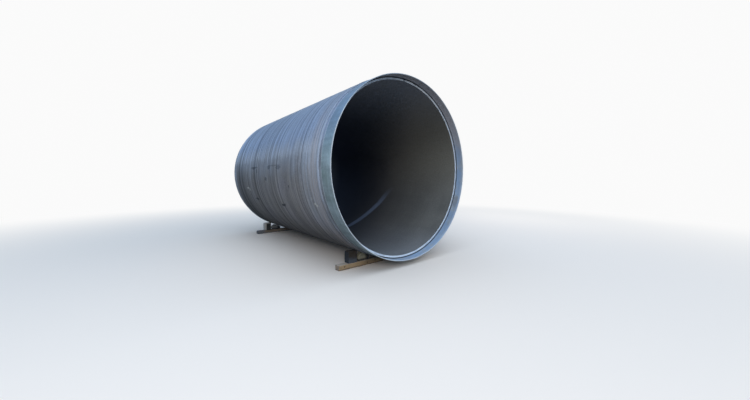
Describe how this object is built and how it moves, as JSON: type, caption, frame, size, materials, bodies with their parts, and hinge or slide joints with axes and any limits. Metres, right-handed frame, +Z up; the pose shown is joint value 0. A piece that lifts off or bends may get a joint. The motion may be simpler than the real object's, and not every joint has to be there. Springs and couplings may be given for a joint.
{
  "type": "concrete culvert pipe",
  "caption": "Large thin-walled concrete culvert pipe with a banded socket and a grooved spigot, lying level on planks with timber blocks and wedges.",
  "frame": {"origin": "on the ground under the middle of the pipe: the bottom centre of the bounding box", "axes": "+Y along the pipe from the socket to the spigot, +Z up, +X across the pipe"},
  "size_m": [3.6598, 6, 3.76],
  "materials": {
    "concrete": "mottled grey-brown cement coat, matt, with streaks round the pipe",
    "band": "smooth greenish-grey paint, satin",
    "plank_timber": "sawn tan softwood, matt",
    "block_timber": "sawn weathered dark timber, matt",
    "wedge_timber": "rough pale split timber, matt"
  },
  "bodies": {
    "root": {"pipe_barrel": "concrete", "socket_band": "band", "socket_end_plank": "plank_timber", "socket_end_left_block": "block_timber", "socket_end_left_wedge": "wedge_timber", "socket_end_right_block": "block_timber", "socket_end_right_wedge": "wedge_timber", "spigot_end_plank": "plank_timber", "spigot_end_left_block": "block_timber", "spigot_end_left_wedge": "wedge_timber", "spigot_end_right_block": "block_timber", "spigot_end_right_wedge": "wedge_timber"}
  },
  "joints": []
}
